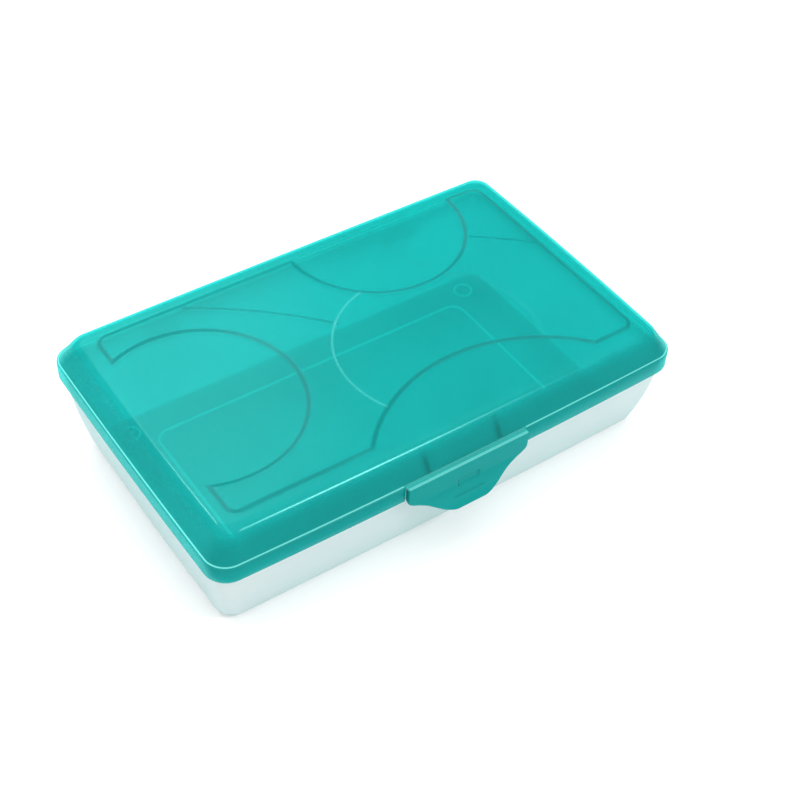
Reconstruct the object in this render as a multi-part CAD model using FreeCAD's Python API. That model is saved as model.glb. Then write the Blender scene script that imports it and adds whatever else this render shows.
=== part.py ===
import FreeCAD, Part
import math
import os

# Pencil case: a tapered open tray, a lid on two snap hinges at the back, and a latch flap
# at the front that swings on a thin web moulded with the lid.
# Millimetres, +X along the length, -Y to the front (latch) side, +Z up, standing on Z = 0.
# Shapes are made about the case's own middle. CASE_Y then shifts them all, so that the
# origin is the bottom centre of the whole object, latch lip and hinges included.

V = FreeCAD.Vector

# ---- driving dimensions ----
LENGTH = 292.0
RIM_DEPTH = 184.0          # front to back over the lid's skirt
HEIGHT = 73.0
LATCH_REACH = 8.0          # how far the latch lip stands out of the skirt
HINGE_REACH = 2.0          # how far the hinges stand out of the skirt
HALF_X = LENGTH / 2
HALF_Y = RIM_DEPTH / 2
CASE_Y = (LATCH_REACH - HINGE_REACH) / 2

# lid
SKIRT_Z = 47.3             # lower edge of the skirt
LEDGE_Z = 57.8             # ledge where the skirt meets the sloping wall
LEDGE_WIDTH = 2.2
SKIRT_ROUND = 0.8
SKIRT_WALL = 1.6
LID_WALL = 1.4
LID_DRAFT = math.radians(26)
CROWN_R = 8.0              # round between the sloping wall and the top
SKIRT_CORNER_R = 12.5
CROWN_CORNER_R = 8.0
SKIRT_BOW = (2.1, 0.3, 0.85)   # bulge of the front, the back and each end
TOP_BOW = (1.2, 0.6, 1.2)

# pattern on the lid: a raised panel with three round bites out of its edge
PANEL_HALF_X = 125.5
PANEL_HALF_Y = 72.0
PANEL_CORNER_R = 6.0
PANEL_LIFT = 0.5
BITES = ((-103.0, 0.8, 56.0), (50.0, 71.0, 54.0), (27.0, -133.0, 94.5))   # x, y, radius

# base tray
TRAY_RIM_Z = 55.4
TRAY_WALL = 1.4
TRAY_FLOOR = 1.6
TRAY_TOP_INSET = (3.0, 4.0)    # of the ends, and of the front and back
TRAY_FOOT_X = 136.0        # half length and half depth of the bottom
TRAY_FOOT_Y = 78.0
TRAY_BANDS = 5             # straight bands that follow the wall's curve
TRAY_EDGE_R = 4.0          # round between the walls and the bottom
TRAY_TOP_CORNER_R = 8.5
TRAY_FOOT_CORNER_R = 10.0
TRAY_TOP_BOW = (1.8, 0.3, 0.8)
TRAY_FOOT_BOW = (1.2, 0.3, 0.9)
FLANGE_INSET = 2.6
FLANGE_THICK = 1.6
FLOOR_RIB = (106.0, 57.5, 9.0)    # half length, half depth, corner radius
FLOOR_RIB_WIDTH = 1.4
FLOOR_RIB_HEIGHT = 0.6
RING_AT = (116.0, 64.5)
RING_R = 6.0
RING_WIDTH = 1.0

# latch
LATCH_HALF = 38.0
LATCH_THICK = 2.0
LATCH_FACE_Y = -(HALF_Y + 2.8)
LATCH_FLARE_Z = 45.0       # the flap curves outwards below this height
LATCH_TIP_Z = 30.4
LATCH_EDGE = ((38.0, 49.5), (36.0, 46.2), (31.5, 43.4), (25.9, 39.9), (21.4, 36.4),
              (17.0, 33.6), (12.3, 31.6), (6.4, 30.6), (0.0, LATCH_TIP_Z))
SLOT_GAP = 0.7             # beside the flap, in the skirt
SLOT_Y = -(HALF_Y - 1.4)   # the lid's ledge ends here behind the flap
WEB_THICK = 0.5
WEB_Z = 57.0
FLAP_BEVEL = 0.5           # along the flap's upper inner edge, clear of the ledge when it opens
RECESS = (6.6, 42.4, 47.4, 0.8)      # half width, low and high Z, depth
CATCH_RIB = (9.0, 37.2, 39.4, 0.6)   # half width, low and high Z, height
CATCH_NUB = (8.0, 40.2, 45.6)        # half width, low and high Z
CATCH_GAP = 0.3
GUSSET_X = 22.6
GUSSET_THICK = 1.4
GUSSET_Z = (56.0, 68.0)
GUSSET_REACH = 5.0

# hinges
HINGE_X = 80.0
HINGE_Z = 44.2
PIN_R = 1.5
PIN_CLEARANCE = 0.05
HOOK_WALL = 1.15
HOOK_R = PIN_R + PIN_CLEARANCE + HOOK_WALL
HINGE_Y = HALF_Y + HINGE_REACH - HOOK_R
HOOK_HALF = 7.0
HOOK_GAP = math.radians(50)      # half angle of the hook's open side, facing down
EAR_R = 2.4
EAR_THICK = 3.0
EAR_CLEARANCE = 0.5


def outline(half_x, half_y, corner_r, bow, z):
    """Closed wire of four gently bowed sides joined by tangent corner arcs."""
    front, back, end = (b if b else 0.1 for b in bow)
    end_r = half_y ** 2 / (2 * end)
    points = []
    sides = []
    for sign_y, bulge in ((-1, front), (1, back)):
        side_r = half_x ** 2 / (2 * bulge)
        side_c = (0.0, sign_y * (half_y - side_r))
        end_c = (half_x - end_r, 0.0)
        a = side_r - corner_r
        b = end_r - corner_r
        dx = end_c[0] - side_c[0]
        dy = end_c[1] - side_c[1]
        gap = math.hypot(dx, dy)
        along = (a * a - b * b + gap * gap) / (2 * gap)
        across = math.sqrt(max(a * a - along * along, 0.0))
        ux, uy = dx / gap, dy / gap
        # of the two circle crossings, the corner's centre is the one with the larger X
        picks = []
        for turn in (-1, 1):
            picks.append((side_c[0] + along * ux - turn * across * uy,
                          side_c[1] + along * uy + turn * across * ux))
        cx, cy = max(picks)
        to_side = (cx - side_c[0], cy - side_c[1])
        to_end = (cx - end_c[0], cy - end_c[1])
        on_side = (side_c[0] + to_side[0] * side_r / a, side_c[1] + to_side[1] * side_r / a)
        on_end = (end_c[0] + to_end[0] * end_r / b, end_c[1] + to_end[1] * end_r / b)
        mx = (on_side[0] + on_end[0]) / 2 - cx
        my = (on_side[1] + on_end[1]) / 2 - cy
        reach = math.hypot(mx, my)
        middle = (cx + mx * corner_r / reach, cy + my * corner_r / reach)
        points.append((on_side, middle, on_end))
        sides.append(sign_y * half_y)

    def arc(p, q, r):
        return Part.Arc(V(p[0], p[1], z), V(q[0], q[1], z), V(r[0], r[1], z)).toShape()

    def mirror(p):
        return (-p[0], p[1])

    (f_side, f_mid, f_end), (b_side, b_mid, b_end) = points
    edges = [
        arc(mirror(f_side), (0.0, sides[0]), f_side),
        arc(f_side, f_mid, f_end),
        arc(f_end, (half_x, 0.0), b_end),
        arc(b_end, b_mid, b_side),
        arc(b_side, (0.0, sides[1]), mirror(b_side)),
        arc(mirror(b_side), mirror(b_mid), mirror(b_end)),
        arc(mirror(b_end), (-half_x, 0.0), mirror(f_end)),
        arc(mirror(f_end), mirror(f_mid), mirror(f_side)),
    ]
    return Part.Wire(edges)


def loft(wires):
    return Part.makeLoft(wires, True, True)


def blend(a, b, t):
    """The value or tuple a fraction t of the way from a to b."""
    if isinstance(a, tuple):
        return tuple(blend(p, q, t) for p, q in zip(a, b))
    return a + (b - a) * t


def box(x0, x1, y0, y1, z0, z1):
    return Part.makeBox(x1 - x0, y1 - y0, z1 - z0, V(x0, y0, z0))


def cylinder_x(radius, x0, x1, y, z):
    return Part.makeCylinder(radius, x1 - x0, V(x0, y, z), V(1, 0, 0))


# ---- lid ----

def lid_inset(z, wall):
    """How far the upper lid's wall stands in from the skirt at height z."""
    radius = CROWN_R - wall
    centre_z = HEIGHT - PANEL_LIFT - CROWN_R
    centre_inset = (LEDGE_WIDTH + CROWN_R / math.cos(LID_DRAFT)
                    + (centre_z - LEDGE_Z) * math.tan(LID_DRAFT))
    tangent_z = centre_z + radius * math.sin(LID_DRAFT)
    if z <= tangent_z:
        return centre_inset - radius / math.cos(LID_DRAFT) + (z - centre_z) * math.tan(LID_DRAFT)
    return centre_inset - math.sqrt(max(radius ** 2 - (z - centre_z) ** 2, 0.0))


def upper_lid(wall, low_z):
    """The sloping wall and round crown, thinner all round by wall."""
    radius = CROWN_R - wall
    centre_z = HEIGHT - PANEL_LIFT - CROWN_R
    heights = [low_z]
    steps = 6
    for step in range(steps + 1):
        angle = blend(LID_DRAFT, math.pi / 2, step / steps)
        heights.append(centre_z + radius * math.sin(angle))
    wires = []
    for z in heights:
        inset = lid_inset(z, wall)
        rise = (z - LEDGE_Z) / (heights[-1] - LEDGE_Z)
        corner = blend(SKIRT_CORNER_R - wall / 2, CROWN_CORNER_R, max(rise, 0.0))
        bow = blend(SKIRT_BOW, TOP_BOW, max(rise, 0.0))
        wires.append(outline(HALF_X - inset, HALF_Y - inset, corner, bow, z))
    return loft(wires)


def panel():
    """The raised pattern, a plate with round bites."""
    wire = outline(PANEL_HALF_X, PANEL_HALF_Y, PANEL_CORNER_R, (0.6, 0.6, 0.6), HEIGHT - 2 * PANEL_LIFT)
    plate = Part.Face(wire).extrude(V(0, 0, 2 * PANEL_LIFT))
    for x, y, radius in BITES:
        plate = plate.cut(Part.makeCylinder(radius, 4, V(x, y, HEIGHT - 3)))
    return plate


def make_lid():
    skirt = loft([outline(HALF_X, HALF_Y, SKIRT_CORNER_R, SKIRT_BOW, SKIRT_Z),
                  outline(HALF_X, HALF_Y, SKIRT_CORNER_R, SKIRT_BOW, LEDGE_Z - SKIRT_ROUND),
                  outline(HALF_X - SKIRT_ROUND, HALF_Y - SKIRT_ROUND,
                          SKIRT_CORNER_R - SKIRT_ROUND, SKIRT_BOW, LEDGE_Z)])
    hollow = loft([outline(HALF_X - SKIRT_WALL, HALF_Y - SKIRT_WALL,
                           SKIRT_CORNER_R - SKIRT_WALL, SKIRT_BOW, z)
                   for z in (SKIRT_Z - 1, LEDGE_Z - LID_WALL)])
    shell = skirt.fuse(upper_lid(0.0, LEDGE_Z - LID_WALL / 2)).fuse(panel())
    cavity = upper_lid(LID_WALL, LEDGE_Z - 2 * LID_WALL)
    shell = shell.cut(hollow).cut(cavity)
    slot = box(-LATCH_HALF - SLOT_GAP, LATCH_HALF + SLOT_GAP, -HALF_Y - 5, SLOT_Y,
               SKIRT_Z - 1, HEIGHT)
    shell = shell.cut(slot)
    for x in (-GUSSET_X, GUSSET_X):
        foot_y = -(HALF_Y - lid_inset(GUSSET_Z[0], 0))
        top_y = -(HALF_Y - lid_inset(GUSSET_Z[1], 0))
        corners = [(foot_y + 1, GUSSET_Z[0]), (foot_y + GUSSET_REACH, GUSSET_Z[0]),
                   (top_y + LID_WALL, GUSSET_Z[1]), (top_y + 0.5, GUSSET_Z[1])]
        points = [V(x - GUSSET_THICK / 2, y, z) for y, z in corners]
        rib = Part.Face(Part.makePolygon(points + points[:1])).extrude(V(GUSSET_THICK, 0, 0))
        shell = shell.fuse(rib.common(upper_lid(0.0, LEDGE_Z - LID_WALL)))
    return shell.removeSplitter()


def make_hook(x):
    """A hook that hangs from the skirt's lower edge and snaps over the pin."""
    ring = cylinder_x(HOOK_R, x - HOOK_HALF, x + HOOK_HALF, HINGE_Y, HINGE_Z)
    arm = box(x - HOOK_HALF, x + HOOK_HALF, HALF_Y - SKIRT_WALL - 0.2, HALF_Y - 0.3, HINGE_Z, SKIRT_Z)
    bore = cylinder_x(PIN_R + PIN_CLEARANCE, x - HOOK_HALF, x + HOOK_HALF, HINGE_Y, HINGE_Z)
    reach = 2 * HOOK_R
    half = reach * math.tan(HOOK_GAP)
    mouth = [V(x - HOOK_HALF, HINGE_Y, HINGE_Z), V(x - HOOK_HALF, HINGE_Y - half, HINGE_Z - reach),
             V(x - HOOK_HALF, HINGE_Y + half, HINGE_Z - reach)]
    wedge = Part.Face(Part.makePolygon(mouth + mouth[:1])).extrude(V(2 * HOOK_HALF, 0, 0))
    return ring.fuse(arm).cut(bore).cut(wedge).removeSplitter()


# ---- latch ----

def flare_radius():
    """Radius of the flap's outward curve, from its depth and height."""
    depth = HALF_Y + LATCH_REACH + LATCH_FACE_Y
    height = LATCH_FLARE_Z - LATCH_TIP_Z
    return (depth ** 2 + height ** 2) / (2 * depth)


def make_latch():
    """Flap cut to its outline from a plate that curves outwards at the bottom."""
    radius = flare_radius()
    centre_y = LATCH_FACE_Y - radius
    plate = cylinder_x(radius + LATCH_THICK, -LATCH_HALF, LATCH_HALF, centre_y, LATCH_FLARE_Z)
    plate = plate.cut(cylinder_x(radius, -LATCH_HALF, LATCH_HALF, centre_y, LATCH_FLARE_Z))
    low = box(-LATCH_HALF, LATCH_HALF, centre_y, 0, LATCH_FLARE_Z - 0.9 * radius, LATCH_FLARE_Z)
    upright = box(-LATCH_HALF, LATCH_HALF, LATCH_FACE_Y, LATCH_FACE_Y + LATCH_THICK,
                  LATCH_FLARE_Z, LEDGE_Z)
    plate = plate.common(low).fuse(upright)
    right = [V(x, 0, z) for x, z in LATCH_EDGE]
    left = [V(-x, 0, z) for x, z in reversed(LATCH_EDGE[:-1])]
    curve = Part.BSplineCurve()
    curve.interpolate(right + left)
    top = [V(-LATCH_HALF, 0, LEDGE_Z), V(LATCH_HALF, 0, LEDGE_Z)]
    sides = [Part.makeLine(left[-1], top[0]), Part.makeLine(top[0], top[1]),
             Part.makeLine(top[1], right[0])]
    shape = Part.Face(Part.Wire([curve.toShape()] + sides)).extrude(V(0, -2 * HALF_Y, 0))
    flap = plate.common(shape)
    half, low_z, high_z, deep = RECESS
    flap = flap.cut(box(-half, half, LATCH_FACE_Y - 5, LATCH_FACE_Y + deep, low_z, high_z))
    half, low_z, high_z, high = CATCH_RIB
    inner_y = LATCH_FACE_Y + LATCH_THICK
    rib = box(-half, half, inner_y - 2 * LATCH_THICK, inner_y + high, low_z, high_z)
    bevel = [V(-LATCH_HALF, inner_y + 1, LEDGE_Z + 1), V(-LATCH_HALF, inner_y - FLAP_BEVEL - 1, LEDGE_Z + 1),
             V(-LATCH_HALF, inner_y + 1, LEDGE_Z - FLAP_BEVEL - 1)]
    flap = flap.cut(Part.Face(Part.makePolygon(bevel + bevel[:1])).extrude(V(2 * LATCH_HALF, 0, 0)))
    outside = cylinder_x(radius + LATCH_THICK / 2, -LATCH_HALF, LATCH_HALF, centre_y, LATCH_FLARE_Z)
    return flap.fuse(rib.cut(outside)).removeSplitter()


def make_web():
    """Thin strip that the flap bends on, from the lid's ledge to the top of the flap."""
    return box(-LATCH_HALF, LATCH_HALF, LATCH_FACE_Y + LATCH_THICK, SLOT_Y,
               WEB_Z - WEB_THICK / 2, WEB_Z + WEB_THICK / 2)


# ---- base tray ----

def tray_half(z):
    """Half length, half depth, corner radius and bow of the tray's outside at height z.
    The walls are upright at the rim and curve in towards the foot."""
    rise = 1 - max(1 - z / TRAY_RIM_Z, 0.0) ** 2
    return (blend(TRAY_FOOT_X, HALF_X - TRAY_TOP_INSET[0], rise),
            blend(TRAY_FOOT_Y, HALF_Y - TRAY_TOP_INSET[1], rise),
            blend(TRAY_FOOT_CORNER_R, TRAY_TOP_CORNER_R, rise),
            blend(TRAY_FOOT_BOW, TRAY_TOP_BOW, rise))


def tray_solid(wall, low_z, high_z):
    """The tray's body, thinner all round by wall, with a round lower edge."""
    radius = TRAY_EDGE_R - wall
    wires = []
    steps = 5
    for step in range(steps + 1):
        angle = math.pi / 2 * step / steps
        z = low_z + radius * (1 - math.cos(angle))
        inset = wall + radius * (1 - math.sin(angle))
        half_x, half_y, corner, bow = tray_half(z)
        wires.append(outline(half_x - inset, half_y - inset, corner - inset, bow, z))
    for band in range(1, TRAY_BANDS + 1):
        z = blend(low_z + radius, high_z, band / TRAY_BANDS)
        half_x, half_y, corner, bow = tray_half(z)
        wires.append(outline(half_x - wall, half_y - wall, corner - wall, bow, z))
    return loft(wires)


def ring_wall(half_x, half_y, corner, width, low_z, high_z):
    outer = outline(half_x, half_y, corner, (0.1, 0.1, 0.1), low_z)
    inner = outline(half_x - width, half_y - width, corner - width, (0.1, 0.1, 0.1), low_z)
    rise = V(0, 0, high_z - low_z)
    return Part.Face(outer).extrude(rise).cut(Part.Face(inner).extrude(rise))


def make_tray():
    outer = tray_solid(0.0, 0.0, TRAY_RIM_Z)
    inner = tray_solid(TRAY_WALL, TRAY_FLOOR, TRAY_RIM_Z + 1)
    flange = Part.Face(outline(HALF_X - FLANGE_INSET, HALF_Y - FLANGE_INSET,
                               SKIRT_CORNER_R - FLANGE_INSET, SKIRT_BOW,
                               TRAY_RIM_Z - FLANGE_THICK)).extrude(V(0, 0, FLANGE_THICK))
    half, low_z, high_z = CATCH_NUB
    face_y = LATCH_FACE_Y + LATCH_THICK + CATCH_RIB[3] + CATCH_GAP
    wall_y = -tray_half(high_z)[1] + TRAY_WALL / 2
    foot_y = -tray_half(low_z)[1] + TRAY_WALL / 2
    corners = [(wall_y, high_z + 4), (face_y, high_z), (face_y, low_z), (foot_y, low_z)]
    points = [V(-half, y, z) for y, z in corners]
    nub = Part.Face(Part.makePolygon(points + points[:1])).extrude(V(2 * half, 0, 0))
    tray = outer.fuse(flange).fuse(nub).cut(inner)
    floor_top = TRAY_FLOOR + FLOOR_RIB_HEIGHT
    tray = tray.fuse(ring_wall(*FLOOR_RIB, FLOOR_RIB_WIDTH, TRAY_FLOOR - 0.5, floor_top))
    for x in (-RING_AT[0], RING_AT[0]):
        for y in (-RING_AT[1], RING_AT[1]):
            at = V(x, y, TRAY_FLOOR - 0.5)
            ring = Part.makeCylinder(RING_R, FLOOR_RIB_HEIGHT + 0.5, at)
            ring = ring.cut(Part.makeCylinder(RING_R - RING_WIDTH, FLOOR_RIB_HEIGHT + 0.5, at))
            tray = tray.fuse(ring)
    return tray.removeSplitter(), outer


def make_pin(x, tray_outer):
    """Two ears on the tray's back wall with a pin between them."""
    near = HOOK_HALF + EAR_CLEARANCE
    shape = cylinder_x(PIN_R, x - near - EAR_THICK, x + near + EAR_THICK, HINGE_Y, HINGE_Z)
    for side in (-1, 1):
        x0 = min(x + side * near, x + side * (near + EAR_THICK))
        x1 = x0 + EAR_THICK
        shape = shape.fuse(cylinder_x(EAR_R, x0, x1, HINGE_Y, HINGE_Z))
        back_y = HALF_Y - 3 * TRAY_TOP_INSET[1]
        points = [V(x0, HINGE_Y, HINGE_Z + EAR_R), V(x0, HINGE_Y, HINGE_Z - EAR_R),
                  V(x0, back_y, HINGE_Z - 3 * EAR_R), V(x0, back_y, HINGE_Z + EAR_R)]
        neck = Part.Face(Part.makePolygon(points + points[:1])).extrude(V(EAR_THICK, 0, 0))
        shape = shape.fuse(neck)
    return shape.cut(tray_outer).removeSplitter()


def export(name, shape):
    """Writes one node and says how many solids it has."""
    solids = shape.Solids
    shape = solids[0] if len(solids) == 1 else Part.makeCompound(solids)
    shape.translate(V(0, CASE_Y, 0))
    shape.exportStep("parts/" + name + ".step")
    bounds = shape.BoundBox
    print(name, "solids", len(solids), "valid", shape.isValid(), "volume", round(shape.Volume),
          "x %.2f %.2f y %.2f %.2f z %.2f %.2f" % (bounds.XMin, bounds.XMax, bounds.YMin,
                                                  bounds.YMax, bounds.ZMin, bounds.ZMax))


def main():
    os.makedirs("parts", exist_ok=True)
    tray, tray_outer = make_tray()
    export("lid_shell", make_lid())
    export("latch_flap", make_latch())
    export("latch_hinge_web", make_web())
    for name, x in (("left", -HINGE_X), ("right", HINGE_X)):
        export("hinge_hook_" + name, make_hook(x))
        export("hinge_pin_" + name, make_pin(x, tray_outer))
    export("base_tray", tray)


main()
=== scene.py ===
import math

import bmesh
import bpy
import numpy as np
from mathutils import Matrix, Vector


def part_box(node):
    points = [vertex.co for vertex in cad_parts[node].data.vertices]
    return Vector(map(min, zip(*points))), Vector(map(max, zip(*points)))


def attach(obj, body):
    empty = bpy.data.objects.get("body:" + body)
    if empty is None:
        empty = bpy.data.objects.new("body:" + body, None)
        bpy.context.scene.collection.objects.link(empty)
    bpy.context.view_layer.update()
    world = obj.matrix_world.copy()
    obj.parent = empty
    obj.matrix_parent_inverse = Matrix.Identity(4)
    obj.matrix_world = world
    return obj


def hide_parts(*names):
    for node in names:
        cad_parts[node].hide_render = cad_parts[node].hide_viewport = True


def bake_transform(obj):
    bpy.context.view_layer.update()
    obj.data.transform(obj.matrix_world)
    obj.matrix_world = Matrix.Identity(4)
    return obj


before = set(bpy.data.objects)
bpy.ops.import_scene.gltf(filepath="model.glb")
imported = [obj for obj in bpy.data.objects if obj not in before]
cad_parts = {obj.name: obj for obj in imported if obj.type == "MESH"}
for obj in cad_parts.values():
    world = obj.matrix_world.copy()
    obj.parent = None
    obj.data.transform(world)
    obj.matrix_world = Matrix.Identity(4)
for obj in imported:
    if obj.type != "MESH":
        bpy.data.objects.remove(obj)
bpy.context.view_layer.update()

# Looks of a translucent pencil case. Shapes are worked out in millimetres about the case's
# own middle, from the boxes of the CAD nodes, and turned into metres when a mesh is made.

MM = 0.001


def box_mm(node):
    """Low and high corner of a CAD node."""
    low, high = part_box(node)
    return np.array(low) / MM, np.array(high) / MM


lid_low, lid_high = box_mm("lid_shell")
tray_high = box_mm("base_tray")[1]
flap_low, flap_high = box_mm("latch_flap")
web_low, web_high = box_mm("latch_hinge_web")

# ---- driving sizes ----
CASE_Y = 3.0                       # the case's middle, in front-to-back direction
HALF_X = 146.0
HALF_Y = lid_high[1] - CASE_Y      # the skirt's back face
TOP_Z = lid_high[2]
SKIRT_Z = lid_low[2]
LEDGE_Z = flap_high[2]

SKIRT_WALL = 1.6
LEDGE_WIDTH = 1.4
LEDGE_THICK = 1.4
SKIRT_FOOT = ((0.12, 0.0), (0.0, 0.35), (0.0, 4.0))        # inset and height from its lower edge
LEDGE_ROUND = ((0.0, -0.9), (0.1, -0.45), (0.36, -0.12), (0.8, 0.0))   # inset, and height from the ledge
LEDGE_FILLET = ((-0.3, 0.0), (0.12, 0.14), (0.4, 0.6))     # the same, from the ledge's inner edge
WALL_RISES = (2.0, 5.0, 8.0)       # heights above the ledge where the sloping wall has points
SKIRT_CORNER_R = 12.5
LEDGE_CORNER_R = 10.8
CORNER_SHRINK = 0.77               # of a corner's radius, for each millimetre of inset
CROWN_CORNER_R = 8.0
CROWN_R = 8.0                      # round between the sloping wall and the top
LID_WALL = 1.4
LID_DRAFT = math.radians(30)
SKIRT_BOW = (2.1, 0.3, 0.85)       # bulge of the front, the back and each end
TOP_BOW = (1.2, 0.6, 1.2)

PANEL_LIFT = 0.5
PANEL_HALF = (125.5, 72.0)
PANEL_CORNER_R = 6.0
BAND = 2.4                         # width of the slope round the raised panel
BITES = ((-103.0, 0.8, 56.0), (50.0, 71.0, 54.0), (27.0, -133.0, 94.5))   # x, y, radius
INNER_CIRCLE = (28.0, -26.0, 57.0)
LINE_WIDTH = 1.5                   # of the thin lines on the panel
LINE_LIFT = 0.12
# start, middle and end of each thin arc
LINE_ARCS = (((-75.0, 70.0), (-36.5, 41.5), (-10.2, 14.4)),
             ((94.2, 37.0), (109.3, 25.3), (124.5, 11.2)))

TRAY_WALL = 1.4
TRAY_FLOOR = 1.6
TRAY_EDGE_R = 4.0
TRAY_FOOT = (136.0, 78.0)
TRAY_TOP_INSET = (3.0, 4.0)        # of the ends, and of the front and back
TRAY_FOOT_CORNER_R = 10.0
TRAY_TOP_CORNER_R = 8.5
TRAY_FOOT_BOW = (1.2, 0.3, 0.9)
TRAY_TOP_BOW = (1.8, 0.3, 0.8)
TRAY_HEIGHTS = (7.0, 11.0, 16.0, 22.0, 28.0, 34.0, 40.0, 47.0)
FLANGE_INSET = 2.6
FLANGE_THICK = 1.6
FLOOR_RIB = (106.0, 57.5, 9.0)     # half length, half depth, corner radius
FLOOR_RIB_WIDTH = 1.8
FLOOR_RIB_HEIGHT = 0.6
RING_AT = (116.0, 64.5)
RING_R = 5.5
RING_TUBE = 0.8

SLOT_HALF = flap_high[0] + 0.38    # half the skirt's opening, which the bow draws in by 0.22
SLOT_INSET = 0.9                   # of the ledge's end behind the latch
GUSSET_X = 22.6
GUSSET_THICK = 1.4
GUSSET_TOP_Z = 68.0

LIP_REACH = 8.0                    # of the flap's tip in front of the skirt
FLAP_FACE_Y = -(HALF_Y + 2.8)      # outer face of the flap's upright part
FLAP_THICK = 2.0
FLAP_FLARE_Z = 45.0                # the flap curves outwards below this
FLAP_EDGE_R = 0.55
# right half of the flap's lower outline, X and Z, from its side down to the tip
FLAP_OUTLINE = ((38.0, 49.0), (37.5, 47.0), (35.5, 45.2), (31.3, 42.9), (25.8, 39.5), (21.2, 36.1),
                (16.8, 33.3), (12.2, 31.5), (6.4, 30.6), (0.0, 30.4))
RECESS_HALF = 6.6
RECESS_Z = (42.4, 47.4)
RECESS_DEPTH = 0.8
RECESS_SOFT = 0.6
CREASE_HALF = 9.5
CREASE_Z = 37.6
CREASE_HEIGHT = 0.35
CREASE_SOFT = 0.6
SIDE_WIDTH = 1.4                   # the flap is thicker this far in from its sides
SIDE_THICK = 1.2
SIDE_Z = (47.5, 56.2)
CATCH_RIB_HALF = 9.0
CATCH_RIB_Z = (37.2, 39.4)
CATCH_RIB_HEIGHT = 0.6
CATCH_GAP = 0.3
CATCH_NUB_HALF = 8.0
CATCH_NUB_Z = (40.2, 45.6)
WEB_REACH = 0.35                   # of the web into the flap
WEB_THICK = 1.2                    # at its two ends
WEB_GROOVE = 0.25                  # taken off its top in the middle
WEB_WAIST = 0.4                    # and off its underside

# mesh steps
MIDDLE_STEPS = 88
OUTER_STEPS = 96
END_STEPS = 168
CORNER_STEPS = 10
SIDE_STEPS = MIDDLE_STEPS + 2 * OUTER_STEPS
ROWS = 2 * CORNER_STEPS + END_STEPS
CROWN_STEPS = 13
TRAY_EDGE_STEPS = (8, 7)           # points of the round at the tray's foot: outside, inside
FLOOR_RING_STEPS = (48, 12)        # round a floor ring, and round its line
FLAP_COLUMNS = 145
FLAP_RIM_STEPS = 80                # from the flap's upper corner down to its tip
FLAP_TOP_ROWS = 13
FLAP_EDGE_STEPS = 8
WEB_STEPS = 15
WEB_COLUMNS = 60

# material slots of the lid
OUTER_FACE = 0
INNER_FACE = 1

# shares of painted shade (deeper colour) and painted highlight (paler colour) on the pieces
WALL_SHADE = (0.4, 0.7)             # painted shade on the lid's sloping wall: at the back and ends, and deeper in front
WALL_FRONT_FROM = 25.0             # behind the skirt's front, where the front's deeper painted shade starts
WALL_FRONT_FADE = 15.0             # and how far on it is full
WALL_SHADE_TOP_Z = TOP_Z - 2.5
WALL_SHADE_FADE = 3.0
GUSSET_SHADE_HALF = 2.2                   # of the painted shade, a dark wedge, over each gusset
GUSSET_SHADE_FADE = 5.0
LEDGE_HIGHLIGHT = (1.0, 0.45)           # painted highlight on the ledge: all round, and behind the latch
CIRCLE_HIGHLIGHT = (0.4, 0.12)          # painted highlight on the thin circle: left and right of its centre
# painted shade inside the tray
TRAY_INSIDE_SHADE = 0.15
TRAY_FLOOR_SHADE = 0.35             # painted shade on the floor, more than on the rest of the inside
CREASE_SHADE = 0.6                  # painted shade along the under side of the raised line
CREASE_SHADE_DROP = 0.7
# painted shade on the flap's sides
FLAP_SIDE_SHADE = 0.9
# painted highlights: along the flap's top edge, and over the hinge web
FLAP_TOP_HIGHLIGHT = 0.55
WEB_HIGHLIGHT = 0.35


# ---- outlines ----

def mix(a, b, t):
    """The value or tuple a fraction t of the way from a to b."""
    if isinstance(a, tuple):
        return tuple(mix(p, q, t) for p, q in zip(a, b))
    return a + (b - a) * t


def ramp(inwards, width):
    """1 inside an edge and 0 outside it, with a straight slope of this width over the edge."""
    return np.clip(inwards / width + 0.5, 0, 1)


def bowed(x, y, half_x, half_y, bow):
    """Bulges the four sides of a rounded rectangle outwards at their middles."""
    front, back, end = bow
    pull_y = np.where(y < 0, front, -back) * (x / half_x) ** 2 * np.abs(y) / half_y
    pull_x = end * (y / half_y) ** 2 * x / half_x
    return x - pull_x, y + pull_y


def side_columns(straight):
    """X of the points along the front: fixed near the latch, spread out to the corners."""
    middle = np.linspace(-SLOT_HALF, SLOT_HALF, MIDDLE_STEPS + 1)
    outer = np.linspace(SLOT_HALF, straight, OUTER_STEPS + 1)[1:]
    return np.concatenate([-outer[::-1], middle, outer])


def plain_ring(half_x, half_y, corner):
    """Points of a rounded rectangle, from the front left corner round by the right."""
    straight_x = half_x - corner
    straight_y = half_y - corner
    front = side_columns(straight_x)
    turn = np.linspace(0, math.pi / 2, CORNER_STEPS + 1)[1:-1]
    right_y = np.linspace(-straight_y, straight_y, END_STEPS + 1)
    xs = np.concatenate([front, straight_x + corner * np.sin(turn), np.full(END_STEPS + 1, half_x),
                         straight_x + corner * np.cos(turn)])
    ys = np.concatenate([np.full(SIDE_STEPS + 1, -half_y), -straight_y - corner * np.cos(turn), right_y,
                         straight_y + corner * np.sin(turn)])
    left_turn = turn[::-1]
    xs = np.concatenate([xs, front[::-1], -straight_x - corner * np.cos(left_turn),
                         np.full(END_STEPS + 1, -half_x), -straight_x - corner * np.sin(left_turn)])
    ys = np.concatenate([ys, np.full(SIDE_STEPS + 1, half_y), straight_y + corner * np.sin(left_turn),
                         right_y[::-1], -straight_y - corner * np.cos(left_turn)])
    return xs, ys


def ring(half_x, half_y, corner, bow, z):
    """Points of a bowed rounded rectangle at height z."""
    xs, ys = bowed(*plain_ring(half_x, half_y, corner), half_x, half_y, bow)
    return np.column_stack([xs, ys, np.full(len(xs), z)])


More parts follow.
